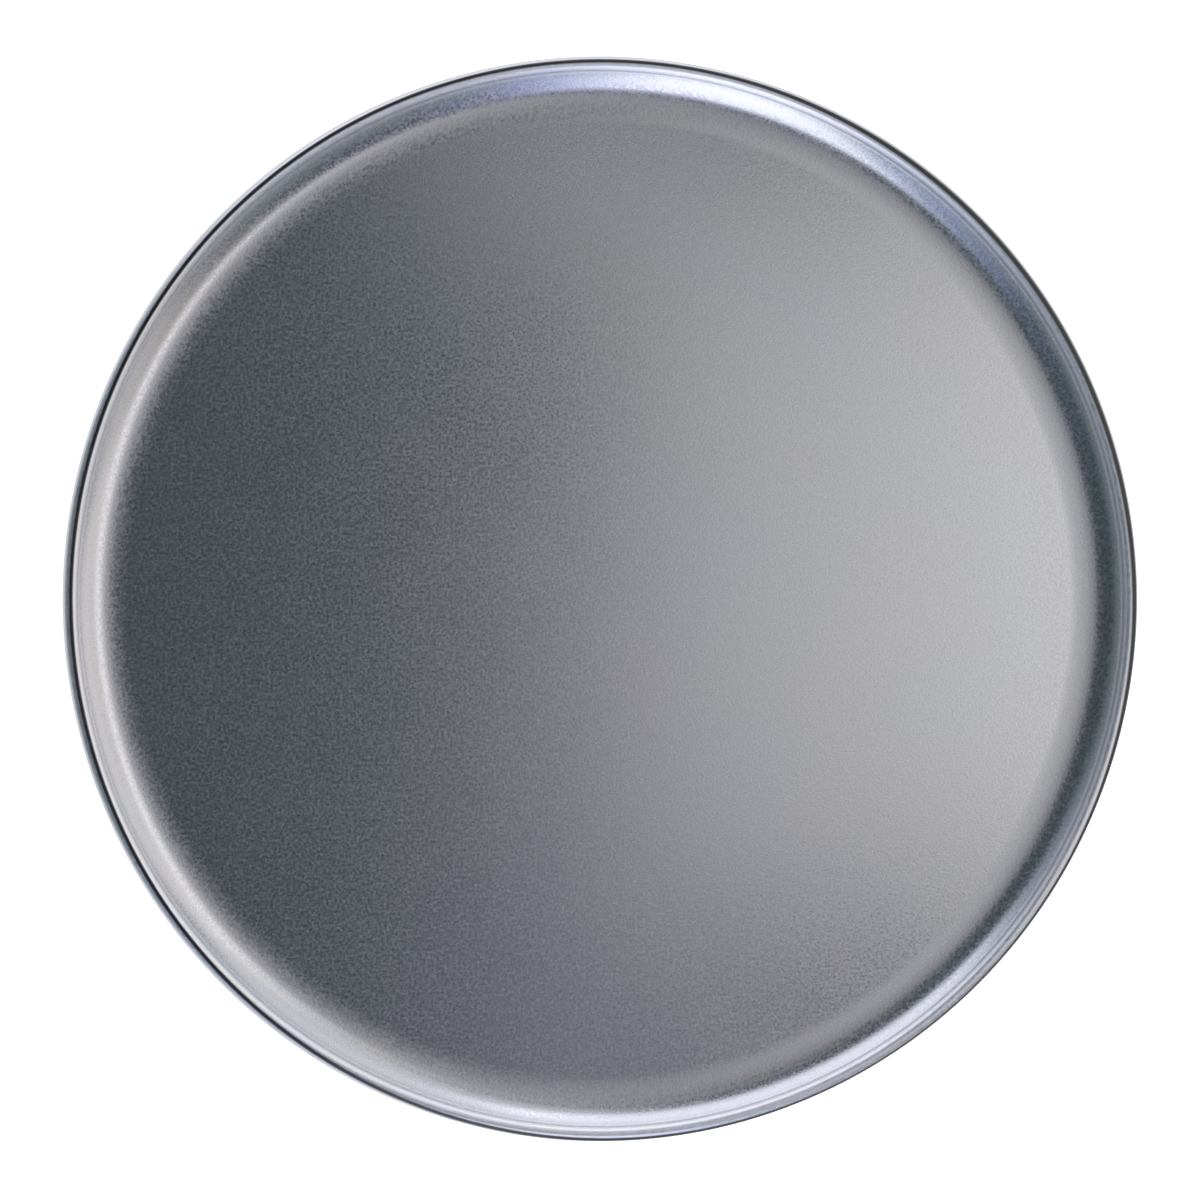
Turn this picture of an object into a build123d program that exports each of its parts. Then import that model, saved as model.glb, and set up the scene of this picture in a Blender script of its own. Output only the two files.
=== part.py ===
"""A round pizza pan: a pressed sheet with a flat floor, a low wall that sweeps up and
outward, and an edge rolled outward over a round wire.

Millimetres and degrees. +Z is up. The origin is the centre of the underside,
so the pan stands on the plane Z = 0 and Z is its axis.
"""

import math
import os

from build123d import *

os.makedirs("parts", exist_ok=True)

# The pan
rim_diameter = 355.6  # over the bead
pan_height = 9.525  # from the table to the top of the bead
sheet_thickness = 1.0
foot_radius = 42.0  # food side of the slow rise from floor to wall
wall_foot_angle = 12.0  # between wall and floor where the wall leaves the slow rise
wall_top_angle = 48.5  # between wall and floor where the wall meets the neck
neck_radius = 1.2  # food side of the bend from wall to bead

# The rolled edge and its wire
wire_diameter = 2.6
wire_clearance = 0.08  # all round the wire, inside the roll
roll_slit = 0.4  # between the sheet's cut edge and the back of the wall
wire_end_gap = 1.0  # between the two butted ends of the wire

# The bead in section: the sheet goes once round the wire
roll_inner_radius = wire_diameter / 2 + wire_clearance
roll_outer_radius = roll_inner_radius + sheet_thickness
bead_centre_x = rim_diameter / 2 - roll_outer_radius
bead_centre_z = pan_height - roll_outer_radius

# The neck turns the wall upright, so that it runs into the bead's inner side
neck_centre_x = bead_centre_x - roll_outer_radius - neck_radius
neck_centre_z = bead_centre_z

# The wall is a sweep. It is steepest at the neck and flattest at its foot, and its radius
# is what takes it down from one to the other. A slower rise then leads it into the floor.
foot_sine = math.sin(math.radians(wall_foot_angle))
foot_cosine = math.cos(math.radians(wall_foot_angle))
top_sine = math.sin(math.radians(wall_top_angle))
top_cosine = math.cos(math.radians(wall_top_angle))
wall_top_x = neck_centre_x + neck_radius * top_sine
wall_top_z = neck_centre_z - neck_radius * top_cosine
wall_foot_z = sheet_thickness + foot_radius * (1 - foot_cosine)
wall_radius = (wall_top_z - wall_foot_z) / (foot_cosine - top_cosine)
wall_foot_x = wall_top_x - wall_radius * (top_sine - foot_sine)
wall_centre_x = wall_top_x - wall_radius * top_sine
wall_centre_z = wall_top_z + wall_radius * top_cosine
floor_radius = wall_foot_x - foot_radius * foot_sine
foot_centre_z = sheet_thickness + foot_radius

# The roll comes round under the wire and stops short of the back of the neck.
# The line through the back of the neck, at the wall's top angle, passes the
# bead's centre at this distance.
neck_back_x = neck_centre_x + (neck_radius + sheet_thickness) * top_sine
neck_back_z = neck_centre_z - (neck_radius + sheet_thickness) * top_cosine
back_to_centre = (bead_centre_x - neck_back_x) * top_sine - (bead_centre_z - neck_back_z) * top_cosine
edge_turn = math.degrees(math.asin((roll_slit - back_to_centre) / roll_inner_radius))
edge_angle = wall_top_angle - 180 + edge_turn

with BuildPart() as pan_sheet:
    with BuildSketch(Plane.XZ):
        with BuildLine():
            # Food side, from the axis out to the rim and round the roll
            Line((0, sheet_thickness), (floor_radius, sheet_thickness))
            CenterArc((floor_radius, foot_centre_z), foot_radius, -90, wall_foot_angle)
            CenterArc(
                (wall_centre_x, wall_centre_z),
                wall_radius,
                wall_foot_angle - 90,
                wall_top_angle - wall_foot_angle,
            )
            CenterArc(
                (neck_centre_x, neck_centre_z), neck_radius, wall_top_angle - 90, 90 - wall_top_angle
            )
            roll_outside = CenterArc(
                (bead_centre_x, bead_centre_z), roll_outer_radius, 180, edge_angle - 180
            )
            # Back of the sheet, from the cut edge to the axis
            roll_inside = CenterArc(
                (bead_centre_x, bead_centre_z), roll_inner_radius, edge_angle, 180 - edge_angle
            )
            Line(roll_outside @ 1, roll_inside @ 0)
            CenterArc(
                (neck_centre_x, neck_centre_z),
                neck_radius + sheet_thickness,
                0,
                wall_top_angle - 90,
            )
            CenterArc(
                (wall_centre_x, wall_centre_z),
                wall_radius + sheet_thickness,
                wall_top_angle - 90,
                wall_foot_angle - wall_top_angle,
            )
            foot_back = CenterArc(
                (floor_radius, foot_centre_z),
                foot_radius + sheet_thickness,
                wall_foot_angle - 90,
                -wall_foot_angle,
            )
            Line(foot_back @ 1, (0, 0))
            Line((0, 0), (0, sheet_thickness))
        make_face()
    revolve(axis=Axis.Z)
pan_sheet.part.label = "pan_sheet"
export_step(pan_sheet.part, "parts/pan_sheet.step")

# One length of wire, bent to a ring. Its ends stop short of each other.
wire_gap_angle = math.degrees(wire_end_gap / bead_centre_x)

with BuildPart() as rim_wire:
    with BuildSketch(Plane.XZ.rotated((0, 0, wire_gap_angle / 2))):
        with Locations((bead_centre_x, bead_centre_z)):
            Circle(wire_diameter / 2)
    revolve(axis=Axis.Z, revolution_arc=360 - wire_gap_angle)
rim_wire.part.label = "rim_wire"
export_step(rim_wire.part, "parts/rim_wire.step")

print(f"flat floor: {2 * floor_radius:.2f} mm across")
print(f"bead: {2 * roll_outer_radius:.2f} mm across")
print(f"wall: sweep of {wall_radius:.2f} mm radius")
print(f"roll: {180 - edge_angle:.1f} degrees round the wire")
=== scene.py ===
# %% [markdown]
# # A round pizza pan
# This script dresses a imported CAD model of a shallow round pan. The pan is
# pressed from one sheet of metal, and its edge is rolled over a ring of wire.
# We load the CAD model as a fixed frame, work out smooth surfaces of the same
# form with numpy, give them finishes made of shader nodes, and light them as a
# small studio would. All lengths are metres, and +Z is up.

# %% Load the frame
import math

import bpy
import numpy as np
from mathutils import Matrix, Vector


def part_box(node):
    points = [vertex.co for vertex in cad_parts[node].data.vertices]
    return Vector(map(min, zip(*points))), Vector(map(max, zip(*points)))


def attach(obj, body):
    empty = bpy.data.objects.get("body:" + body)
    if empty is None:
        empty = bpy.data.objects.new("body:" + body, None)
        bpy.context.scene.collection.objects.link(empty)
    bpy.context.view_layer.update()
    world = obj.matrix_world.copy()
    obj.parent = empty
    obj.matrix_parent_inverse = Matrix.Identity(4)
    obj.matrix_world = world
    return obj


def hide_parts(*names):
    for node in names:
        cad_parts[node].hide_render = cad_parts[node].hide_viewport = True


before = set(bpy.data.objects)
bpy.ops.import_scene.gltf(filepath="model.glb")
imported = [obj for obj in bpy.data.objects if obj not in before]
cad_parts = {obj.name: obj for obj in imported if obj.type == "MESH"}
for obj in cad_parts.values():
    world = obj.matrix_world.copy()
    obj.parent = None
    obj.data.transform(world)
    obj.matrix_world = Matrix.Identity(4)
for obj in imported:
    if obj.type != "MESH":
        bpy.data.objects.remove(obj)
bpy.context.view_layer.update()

# %% [markdown]
# ## Sizes
# A presser thinks of this pan in section: floor, foot, wall, neck and bead. The
# section is drawn once, and everything else is that section carried round the
# axis. So the only sizes we need are the section's own, the same as in the CAD
# source. The rim and the height are read off the frame's box.

# %% The pan's sizes
MM = 0.001

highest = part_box("pan_sheet")[1]
rim_radius = highest[0]
pan_height = highest[2]
sheet = 1.0 * MM
foot_radius = 42.0 * MM
wall_foot_angle = 12.0
wall_top_angle = 48.5
neck_radius = 1.2 * MM
wire_radius = 1.3 * MM
wire_clearance = 0.08 * MM
roll_inner = wire_radius + wire_clearance
roll_outer = roll_inner + sheet
roll_slit = 0.4 * MM
wire_end_gap = 1.0 * MM

foot_turn, top_turn = math.radians(wall_foot_angle), math.radians(wall_top_angle)
foot_sine, foot_cosine = math.sin(foot_turn), math.cos(foot_turn)
top_sine, top_cosine = math.sin(top_turn), math.cos(top_turn)
bead_centre = np.array((rim_radius - roll_outer, pan_height - roll_outer))
neck_centre = bead_centre - (roll_outer + neck_radius, 0)
wall_top = neck_centre + neck_radius * np.array((top_sine, -top_cosine))
wall_foot_z = sheet + foot_radius * (1 - foot_cosine)
wall_radius = (wall_top[1] - wall_foot_z) / (foot_cosine - top_cosine)
wall_centre = wall_top - wall_radius * np.array((top_sine, -top_cosine))
floor_radius = wall_centre[0] + (wall_radius - foot_radius) * foot_sine
foot_centre = np.array((floor_radius, sheet + foot_radius))
print(f"flat floor {2000 * floor_radius:.1f} mm across, wall sweep {1000 * wall_radius:.1f} mm, "
      f"bead {2000 * roll_outer:.2f} mm")

# %% [markdown]
# ## The section of the sheet
# The sheet's section is a closed line: out along the food side, round the roll,
# over the cut edge, back along the inside of the roll and home under the floor.
# It could be traced by hand as a curve object, but straight lines and arcs say
# exactly what a press and a rolling tool leave behind. Where the line bends
# fast, as round the bead, the points lie close together, because the bead's
# thin reflections show every flat facet.

# %% Straight runs and arcs of a section
def run(start, end, steps):
    """Points on a straight line: the start plus even shares of the way to the end."""
    share = np.linspace(0, 1, steps + 1)[:, None]
    return (1 - share) * np.asarray(start) + share * np.asarray(end)


def arc(centre, radius, first, sweep, steps):
    """Points on a circle: the centre plus the radius times the cosine and sine of
    even angles, in degrees, from the first one through the sweep."""
    angle = np.radians(first + sweep * np.linspace(0, 1, steps + 1))
    return centre + radius * np.column_stack((np.cos(angle), np.sin(angle)))


def joined(*parts):
    """One line from parts that meet end to end, with each shared point kept once."""
    return np.vstack([part[:-1] for part in parts[:-1]] + [parts[-1]])


# %% The sheet's closed section
neck_back = neck_centre + (neck_radius + sheet) * np.array((top_sine, -top_cosine))
centre_to_back = np.dot(bead_centre - neck_back, (top_sine, -top_cosine))
edge_turn = math.degrees(math.asin((roll_slit - centre_to_back) / roll_inner))
edge_angle = wall_top_angle - 180 + edge_turn

outer_roll = arc(bead_centre, roll_outer, 180, edge_angle - 180, 72)
inner_roll = arc(bead_centre, roll_inner, edge_angle, 180 - edge_angle, 30)
section = joined(
    run((0, sheet), (floor_radius, sheet), 12),
    arc(foot_centre, foot_radius, -90, wall_foot_angle, 12),
    arc(wall_centre, wall_radius, wall_foot_angle - 90, wall_top_angle - wall_foot_angle, 12),
    arc(neck_centre, neck_radius, wall_top_angle - 90, 90 - wall_top_angle, 8),
    outer_roll,
    run(outer_roll[-1], inner_roll[0], 1),
    inner_roll,
    arc(neck_centre, neck_radius + sheet, 0, wall_top_angle - 90, 8),
    arc(wall_centre, wall_radius + sheet, wall_top_angle - 90, wall_foot_angle - wall_top_angle, 7),
    arc(foot_centre, foot_radius + sheet, wall_foot_angle - 90, -wall_foot_angle, 7),
    run((floor_radius, 0), (0, 0), 8),
)
print(f"section: {len(section)} points, roll {180 - edge_angle:.0f} degrees round the wire")

# %% [markdown]
# ## From a section to a surface
# Carrying a section round an axis is what a lathe does. Blender has a Screw
# modifier for it, but a function of two parameters, the place along the section
# and the turn about the axis, gives clean quads whose faces are sure to point
# outwards. Where the section touches the axis, a whole ring would shrink to one
# point, so there we put a single vertex and close the surface with a fan.

# %% Mesh from arrays
crease_angle = math.radians(40)


def mesh_piece(name, points, quads, triangles, body="root"):
    """An object at the origin from arrays: points (n, 3), quads (m, 4) and triangles
    (k, 3). Edges that bend more than the crease angle stay sharp."""
    corners = np.concatenate((quads.ravel(), triangles.ravel()))
    quad_starts = 4 * np.arange(len(quads))
    triangle_starts = 4 * len(quads) + 3 * np.arange(len(triangles))
    starts = np.concatenate((quad_starts, triangle_starts))
    mesh = bpy.data.meshes.new(name)
    mesh.vertices.add(len(points))
    mesh.vertices.foreach_set("co", points.astype(np.float32).ravel())
    mesh.loops.add(len(corners))
    mesh.loops.foreach_set("vertex_index", corners.astype(np.int32))
    mesh.polygons.add(len(starts))
    mesh.polygons.foreach_set("loop_start", starts.astype(np.int32))
    mesh.update(calc_edges=True)
    mesh.validate()
    mesh.shade_smooth()
    mesh.set_sharp_from_angle(angle=crease_angle)
    piece = bpy.data.objects.new(name, mesh)
    bpy.context.collection.objects.link(piece)
    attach(piece, body)
    mesh.calc_loop_triangles()
    print(f"{name}: {len(mesh.vertices)} vertices, {len(mesh.loop_triangles)} triangles")
    return piece


def grid_quads(rows, columns):
    """Quads between neighbours on a grid whose vertex (i, j) has number i * columns + j.
    The last column meets the first."""
    i = np.arange(rows - 1)[:, None]
    j = np.arange(columns)[None, :]
    after = (j + 1) % columns
    row, next_row = i * columns, (i + 1) * columns
    corners = (row + j, next_row + j, next_row + after, row + after)
    return np.stack(corners, axis=-1).reshape(-1, 4)


def turned(name, line, turns=480):
    """A closed section carried once round Z. Its point (r, z) at turn a lands on
    (r cos a, r sin a, z). The first and last points lie on the axis, as poles."""
    angle = 2 * np.pi * np.arange(turns) / turns
    radius, height = line[1:-1, 0, None], line[1:-1, 1, None]
    ring = np.stack((radius * np.cos(angle), radius * np.sin(angle), height + 0 * angle), axis=-1)
    poles = np.array(((0, 0, line[0, 1]), (0, 0, line[-1, 1])))
    points = np.vstack((ring.reshape(-1, 3), poles))
    rows = len(line) - 2
    here = np.arange(turns)
    there = (here + 1) % turns
    last_row = (rows - 1) * turns
    top_fan = np.column_stack((np.full(turns, rows * turns), here, there))
    low_fan = np.column_stack((last_row + here, np.full(turns, rows * turns + 1), last_row + there))
    return mesh_piece(name, points, grid_quads(rows, turns), np.vstack((top_fan, low_fan)))


# %% The pressed sheet
pan = turned("pressed_pan", section)
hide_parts("pan_sheet")

# %% [markdown]
# ## The wire in the rim
# The wire can't be seen, because the roll goes nearly all the way round it. It
# is still made as a real rod bent to a ring, with two ends that almost meet, so
# that the pan is right in section and from below, through the slit of the roll.
# Its surface is a small circle carried along a big one.

# %% The bent wire
def bent_rod(name, ring_radius, height, rod_radius, gap, along=480, sides=20):
    """A round rod along an arc about Z. At turn a and side b the surface point has
    the radius R + r cos b and the height h + r sin b. Both ends are flat discs."""
    half_gap = gap / ring_radius / 2
    turn = np.linspace(half_gap, 2 * np.pi - half_gap, along)[:, None]
    side = 2 * np.pi * np.arange(sides)[None, :] / sides
    radius = ring_radius + rod_radius * np.cos(side)
    level = height + rod_radius * np.sin(side) + 0 * turn
    tube = np.stack((radius * np.cos(turn), radius * np.sin(turn), level), axis=-1)
    ends = turn[(0, -1), :]
    end_x, end_y = ring_radius * np.cos(ends), ring_radius * np.sin(ends)
    points = np.vstack((tube.reshape(-1, 3), np.column_stack((end_x, end_y, (height, height)))))
    here = np.arange(sides)
    there = (here + 1) % sides
    far_row = (along - 1) * sides
    near_cap = np.column_stack((np.full(sides, along * sides), here, there))
    far_cap = np.column_stack((np.full(sides, along * sides + 1), far_row + there, far_row + here))
    return mesh_piece(name, points, grid_quads(along, sides), np.vstack((near_cap, far_cap)))


wire = bent_rod("bent_wire", bead_centre[0], bead_centre[1], wire_radius, wire_end_gap)
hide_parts("rim_wire")

# %% [markdown]
# ## Shader maths as plain arithmetic
# A procedural finish is mostly arithmetic on positions: how far from the axis,
# how high, how strong is the grain here. In the node editor each plus and times
# is a node. This small class wraps one output socket, and Python's own operators
# add the Math nodes, so a mask reads like the formula that it is.

# %% A socket that can be calculated with
class Value:
    """One output socket of a shader tree, with + - * on it."""

    def __init__(self, tree, socket=None):
        self.tree, self.socket = tree, socket

    def node(self, kind, settings={}, inputs={}, output=0):
        """Adds a node from its type, its settings, its inputs as numbers or links,
        and the output wanted."""
        made = self.tree.nodes.new(kind)
        for name, setting in settings.items():
            setattr(made, name, setting)
        for name, given in inputs.items():
            if isinstance(given, Value):
                self.tree.links.new(given.socket, made.inputs[name])
            else:
                made.inputs[name].default_value = given
        return Value(self.tree, made.outputs[output])

    def math(self, operation, *others):
        """This value and the others, through one Math node."""
        operands = dict(enumerate((self, *others)))
        return self.node("ShaderNodeMath", {"operation": operation}, operands)

    def __add__(self, other):
        return self.math("ADD", other)

    def __sub__(self, other):
        return self.math("SUBTRACT", other)

    def __mul__(self, other):
        return self.math("MULTIPLY", other)

    def __rsub__(self, other):
        return self * -1 + other

    __radd__ = __add__
    __rmul__ = __mul__

    def rise(self, low, high):
        """0 below low, 1 above high, and a smooth step between them."""
        settings = {"interpolation_type": "SMOOTHSTEP"}
        inputs = {"Value": self, "From Min": low, "From Max": high}
        return self.node("ShaderNodeMapRange", settings, inputs)

    def noise(self, size, detail=2.0, roughness=0.5):
        """Cloudy noise about 0 whose lumps are about this long. self is a position."""
        inputs = {"Vector": self, "Scale": 1 / size, "Detail": detail, "Roughness": roughness}
        return self.node("ShaderNodeTexNoise", {}, inputs) - 0.5

    def mix(self, low, high):
        """The colour low where this is 0, and high where it is 1. A Mix node has its
        two colours on sockets 6 and 7, and its colour result on output 2."""
        colours = {0: self, 6: low, 7: high}
        return self.node("ShaderNodeMix", {"data_type": "RGBA"}, colours, output=2)

    def parts(self):
        """The x, y and z of a position, as three values."""
        split = self.node("ShaderNodeSeparateXYZ", {}, {0: self}).socket.node
        return [Value(self.tree, socket) for socket in split.outputs]


def finish(name, **fixed):
    """A material with its shader. The fixed values go straight on the shader's sockets."""
    material = bpy.data.materials.new(name)
    material.use_nodes = True
    shader = material.node_tree.nodes["Principled BSDF"]
    for socket, value in fixed.items():
        shader.inputs[socket.replace("_", " ")].default_value = value
    place = Value(material.node_tree).node("ShaderNodeTexCoord", output="Object")
    return material, shader, place


def feed(shader, **sockets):
    """Links worked-out values to a shader's sockets."""
    for name, value in sockets.items():
        value.tree.links.new(value.socket, shader.inputs[name.replace("_", " ")])


# %% [markdown]
# ## The pan's metal
# Pan sheet comes from the mill with a satin face, and pressing keeps it. Seen
# close, that face is a fine grain of duller and brighter spots, a millimetre
# wide. Dull spots blur the room more. Where the pan mirrors a dark part of the
# room they catch more of the lamps, so the grain stands out in the dark and
# fades in the light. A picture of metal could be wrapped round the pan, but
# noise worked out in the metal itself has no seams and stays sharp near the
# lens. The grain goes mainly to the roughness, with a little to the colour and
# a shallow relief to a Bump node. Faint clouds of tone and hue go to the colour.

# %% Grain and clouds
satin, shader, place = finish("satin sheet metal", Metallic=1.0)
grain = place.noise(0.9 * MM, detail=2.0, roughness=0.6)
clouds = place.noise(28 * MM, detail=3.0)
hue_drift = place.noise(60 * MM, detail=1.0)

# %% [markdown]
# ## Scuffs, a painted highlight and a painted dark line
# Use marks the bead first. Stacking and washing scuff it, so it is duller than
# the wall. Its top is painted brighter, a painted highlight laid on as if the
# metal were rubbed bare. Along the crest a thin dark line is painted in, a
# painted dark reflection, the fine dark line round the pan. The line could be
# drawn by hand on an image, but a mask from the distance to the axis follows the
# rim exactly. Its middle line wanders a little round the rim, and on one side
# the line is wider.

# %% Masks on the bead
part_x, part_y, height = place.parts()
from_axis = (part_x * part_x + part_y * part_y).math("SQRT")
bead_inside, bead_fade = rim_radius - 2 * roll_outer, 1.0 * MM
bead = from_axis.rise(bead_inside - bead_fade, bead_inside)

# At the rim, x and y over its radius are the cosine and sine of the turn. The
# painted dark line's distance from the edge is a constant plus a drift that comes
# once round the rim and one that comes twice, by the cosine and sine of twice the turn.
cosine, sine = part_x * (1 / rim_radius), part_y * (1 / rim_radius)
once_round = 0.50 * MM * sine - 0.62 * MM * cosine
twice_round = 0.42 * MM * (cosine * cosine - sine * sine) + 0.70 * MM * (cosine * sine)
dark_line_from_edge = 1.65 * MM
from_middle = (rim_radius - from_axis - dark_line_from_edge - once_round - twice_round).math("ABSOLUTE")

# The painted dark line is solid within its core and thins out to nothing at its
# reach. On the wide side both are half as wide again. It lies on the bead's upper side only.
wide_turn = math.radians(25)
wide_side = (math.cos(wide_turn) * cosine + math.sin(wide_turn) * sine).rise(0.5, 0.95)
dark_line_core, dark_line_reach, side_fade = 0.3 * MM, 0.95 * MM, 0.8 * MM
across_dark_line = from_middle * (1 - 0.35 * wide_side)
upper_side = height.rise(bead_centre[1] - side_fade, bead_centre[1])
# A painted dark reflection: the mask of the dark line painted along the crest.
painted_dark_line = (1 - across_dark_line.rise(dark_line_core, dark_line_reach)) * upper_side

# The painted highlight on the bead's top stops on its outer side, between these distances from the
# edge
highlight_fades, highlight_ends = 1.4 * MM, 0.6 * MM
# A painted highlight: the bead's top is made brighter in colour.
painted_bead_highlight = bead * (1 - from_axis.rise(rim_radius - highlight_fades, rim_radius - highlight_ends))
print(f"bead from {1000 * bead_inside:.1f} mm out, film {1000 * dark_line_from_edge:.2f} mm in")

# %% Satin sheet metal
highlight_brightening, dark_line_darkening = 0.45, 0.92
# Painted light in the colour: the painted highlight brightens it, and the painted dark line darkens
# it.
tone = (1 + 0.3 * grain + 0.04 * clouds + highlight_brightening * painted_bead_highlight) * (1 - dark_line_darkening * painted_dark_line)
cool, warm = (0.612, 0.624, 0.636, 1), (0.628, 0.622, 0.628, 1)
drifted = (hue_drift + 0.5).rise(0.25, 0.75).mix(cool, warm)
grey = tone.node("ShaderNodeCombineXYZ", {}, {0: tone, 1: tone, 2: tone})
metal_colour = tone.node("ShaderNodeVectorMath", {"operation": "MULTIPLY"}, {0: drifted, 1: grey})
ground = grain * (1 - 0.8 * bead)
relief = tone.node("ShaderNodeBump", {}, {"Strength": 1.0, "Distance": 0.02 * MM, "Height": ground})
satin_roughness, scuff_roughness = 0.27, 0.15
dullness = satin_roughness + scuff_roughness * bead + 0.03 * clouds + 0.45 * grain
feed(shader, Base_Color=metal_colour, Roughness=dullness, Normal=relief)
pan.data.materials.append(satin)
print("satin sheet metal:", len(satin.node_tree.nodes), "nodes")

# %% [markdown]
# ## The wire's metal
# Rim wire is drawn through a die and thinly galvanised. Drawing leaves fine
# lines along the rod, and the zinc leaves soft clouds. The lines follow the
# ring, so they are noise on the height and the distance from the axis alone.

# %% Drawn wire
drawn, shader, place = finish("drawn galvanised wire", Metallic=1.0)
wire_x, wire_y, wire_z = place.parts()
ring = (wire_x * wire_x + wire_y * wire_y).math("SQRT")
across = ring.node("ShaderNodeCombineXYZ", {}, {0: ring, 1: wire_z})
lines = across.noise(0.12 * MM, detail=1.0)
zinc = place.noise(2.5 * MM, detail=2.0)
zinc_colour = (zinc + 0.5).rise(0.3, 0.7).mix((0.50, 0.52, 0.54, 1), (0.60, 0.61, 0.61, 1))
scored = ring.node("ShaderNodeBump", {}, {"Strength": 0.6, "Distance": 0.01 * MM, "Height": lines})
feed(shader, Base_Color=zinc_colour, Roughness=0.38 + 0.2 * zinc, Normal=scored)
wire.data.materials.append(drawn)
print("drawn galvanised wire:", len(drawn.node_tree.nodes), "nodes")

# %% [markdown]
# ## The studio
# The pan lies on a large white table. The table is a diffuse white that takes
# the pan's soft shadow, and a little glow of its own lifts it to white for the
# camera and for reflections, without putting more light on the pan. Far from the
# lamps the glow grows, so that the table runs white into the foot of the room.
# Above that the room is a dim blue grey, and darker overhead, because satin metal
# is a blurred mirror and needs dark to reflect as much as it needs light.

# %% The table and the room
table_half = 60.0
table = bpy.data.objects.new("table", bpy.data.meshes.new("table"))
table_low = -0.3 * MM
table.data.from_pydata(
    [(-table_half, -table_half, table_low), (table_half, -table_half, table_low),
     (table_half, table_half, table_low), (-table_half, table_half, table_low)],
    [], [(0, 1, 2, 3)],
)
bpy.context.collection.objects.link(table)

white, shader, place = finish(
    "white table", Base_Color=(0.80, 0.80, 0.80, 1), Roughness=0.9, Emission_Strength=1.0)
seen, mirrored, through = (place.node("ShaderNodeLightPath", output=ray)
                           for ray in ("Is Camera Ray", "Is Glossy Ray", "Is Transmission Ray"))
looked_at = (seen + mirrored + through).math("MINIMUM", 1.0)
from_pan = place.node("ShaderNodeVectorMath", {"operation": "LENGTH"}, {0: place}, output="Value")
glow = looked_at * (0.75 + 0.25 * from_pan.rise(0.5, 1.6))
feed(shader, Emission_Color=glow.mix((0, 0, 0, 1), (1, 1, 1, 1)))
table.data.materials.append(white)

world = bpy.data.worlds.new("room")
bpy.context.scene.world = world
world.use_nodes = True
toward = Value(world.node_tree).node("ShaderNodeTexCoord", output="Generated")
up = toward.parts()[2]


def above(low, high):
    """0 below the low elevation, 1 above the high one, in degrees. A direction's
    height is the sine of its elevation."""
    return up.rise(math.sin(math.radians(low)), math.sin(math.radians(high)))


foot_white, wall_grey, ceiling_grey = (1, 1, 1, 1), (0.20, 0.23, 0.26, 1), (0.052, 0.076, 0.085, 1)
side_colour = above(1, 5).mix(foot_white, wall_grey)
room_colour = above(20, 36).mix(side_colour, ceiling_grey)
feed(world.node_tree.nodes["Background"], Color=room_colour)
print(f"table {2 * table_half:.0f} m across, room: {len(world.node_tree.nodes)} nodes")

# %% [markdown]
# ## Soft boxes
# Each lamp is a plain rectangle of even light, such as cloth stretched over a
# frame. Its level is how bright the cloth itself looks: at level 1 it is as
# bright as white card, so a metal that mirrors it shows the metal's own colour.
# Large boxes stand round the pan and draw the bands on its wall. The flat floor
# under a near camera mirrors only what is nearly overhead, so level panels hang
# there. Slight tints, warm by the window and blue beside the strips, give plain
# grey metal the hues that it has in a real room.

# %% Lamps
def light_panel(name, width, height, level, tint):
    """A rectangle of even light. Its energy is four times its area times its level."""
    data = bpy.data.lights.new(name, "AREA")
    data.shape = "RECTANGLE"
    data.size, data.size_y = width, height
    data.energy = 4 * width * height * level
    data.color = tint
    lamp = bpy.data.objects.new(name, data)
    bpy.context.collection.objects.link(lamp)
    return lamp


def away(turn, zenith):
    """The direction at this turn about Z and this angle down from straight up, in
    degrees: (sin z cos a, sin z sin a, cos z)."""
    a, z = math.radians(turn), math.radians(zenith)
    return Vector((math.sin(z) * math.cos(a), math.sin(z) * math.sin(a), math.cos(z)))


def soft_box(name, turn, zenith, width, height, level, tint, distance=1.5):
    """A panel that faces the pan. Its centre lies at this distance from the pan's
    centre, in the direction of this turn and zenith angle."""
    lamp = light_panel(name, width, height, level, tint)
    out = away(turn, zenith)
    lamp.location = distance * out
    lamp.rotation_mode = "QUATERNION"
    lamp.rotation_quaternion = out.to_track_quat("Z", "Y")


def flat_panel(name, x_range, y_range, level, tint, over_table=0.65):
    """A panel that hangs level over the table, from x to x and from y to y."""
    (x_low, x_high), (y_low, y_high) = x_range, y_range
    lamp = light_panel(name, x_high - x_low, y_high - y_low, level, tint)
    lamp.location = ((x_low + x_high) / 2, (y_low + y_high) / 2, over_table)


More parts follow.
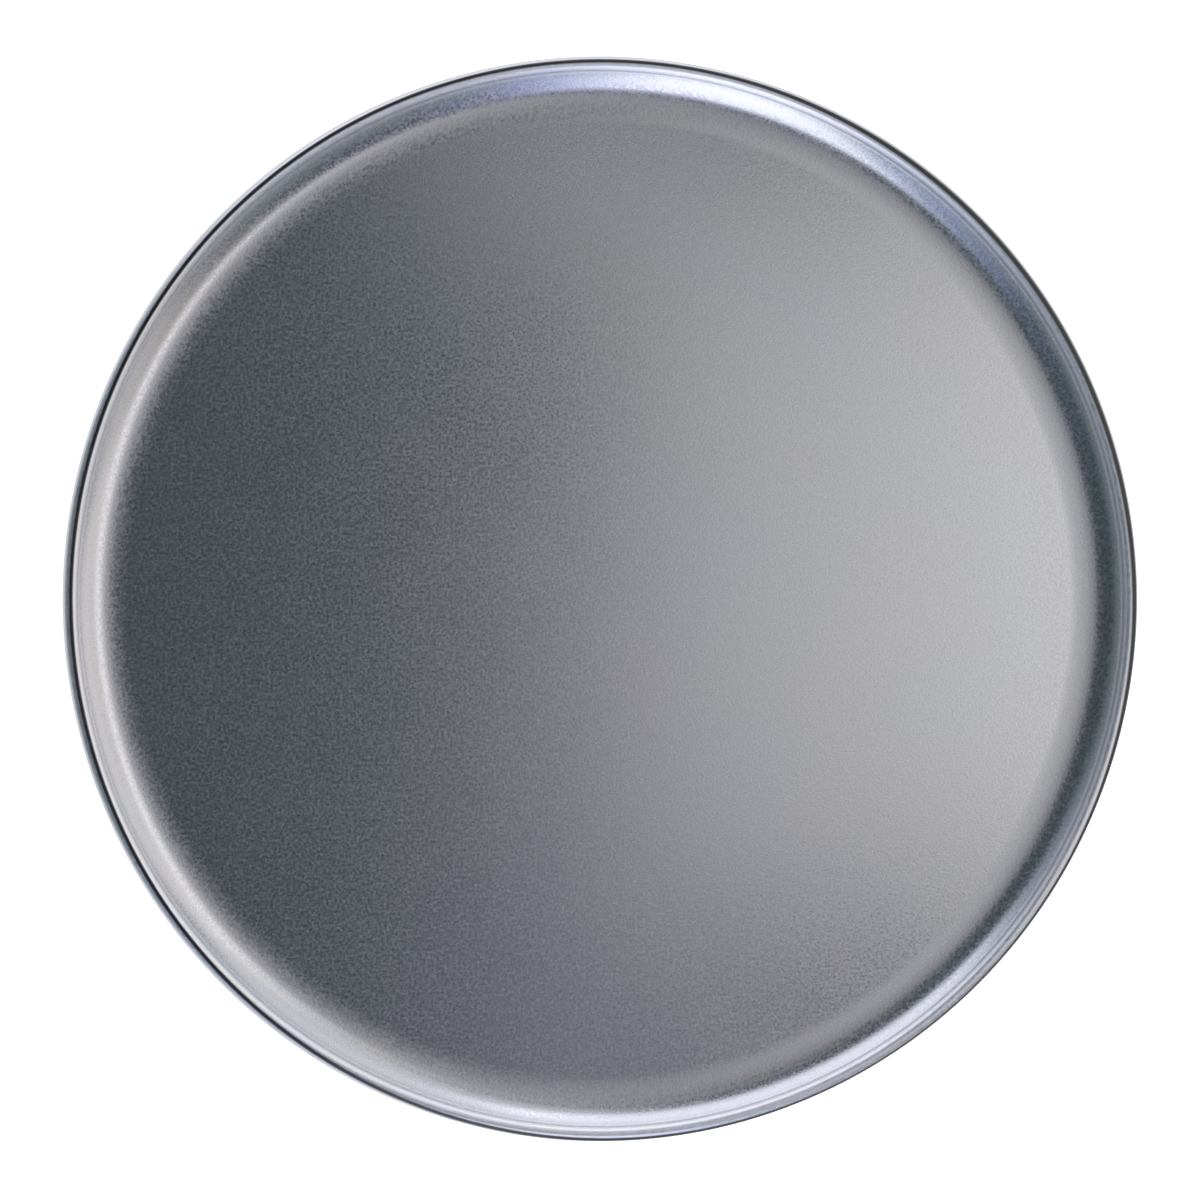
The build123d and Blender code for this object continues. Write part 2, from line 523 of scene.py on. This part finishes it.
soft_box("window", 11, 59.7, 1.04, 1.45, 0.61, (1.00, 0.92, 0.91))
soft_box("window far half", 54, 59.7, 1.04, 1.45, 0.56, (0.97, 0.94, 1.00))
soft_box("window edge", 340, 59.7, 0.48, 1.45, 0.41, (1.00, 0.89, 0.84))
soft_box("far strip", 100, 67.75, 1.67, 0.96, 1.02, (0.89, 0.87, 1.00))
soft_box("far strip edge", 140, 67.75, 0.75, 0.96, 0.12, (0.60, 0.70, 1.00))
soft_box("front strip far edge", 239, 59.7, 0.50, 1.45, 0.33, (0.42, 0.50, 1.00))
soft_box("front strip", 265, 59.7, 0.71, 1.45, 1.52, (0.87, 0.89, 1.00))
soft_box("front strip edge", 285, 59.7, 0.24, 1.45, 0.68, (0.38, 0.43, 1.00))
soft_box("ceiling window", 0, 27, 0.98, 0.37, 0.60, (1.00, 0.93, 0.96))
flat_panel("near panel", (0.10, 0.42), (-0.15, 0.21), 0.435, (1.00, 0.98, 1.00))
flat_panel("near front panel", (0.02, 0.20), (-0.55, 0.06), 0.15, (0.90, 0.72, 1.00))
flat_panel("near far panel", (0.0, 0.135), (0.18, 0.26), 0.44, (0.98, 0.95, 1.00))
print("lamps:", len(bpy.data.lights))

# %% [markdown]
# ## The camera
# The photographer stood close over the pan and a little to its left, so that
# the round rim shows as an ellipse one part in a hundred narrower than tall.

# %% Camera
camera_tilt, camera_turn, camera_distance = 8.0, 180.0, 1.3
aim_x, aim_y = -3.26 * MM, -0.4 * MM
over_pan = away(camera_turn, camera_tilt)

lens = bpy.data.cameras.new("camera")
lens.sensor_width = 36.0
lens.lens = 118.75
camera = bpy.data.objects.new("camera", lens)
bpy.context.collection.objects.link(camera)
camera.location = camera_distance * over_pan + Vector((0, 0, pan_height / 2))
backward = (camera.location - Vector((aim_x, aim_y, pan_height / 2))).normalized()
rightward = Vector((0, 1, 0)).cross(backward).normalized()
axes = Matrix((rightward, backward.cross(rightward), backward)).transposed()
camera.rotation_mode = "QUATERNION"
camera.rotation_quaternion = axes.to_quaternion()
bpy.context.scene.camera = camera
bpy.context.scene.view_settings.view_transform = "Standard"
print(f"camera {camera_distance} m from the pan, {camera_tilt} degrees off its axis")
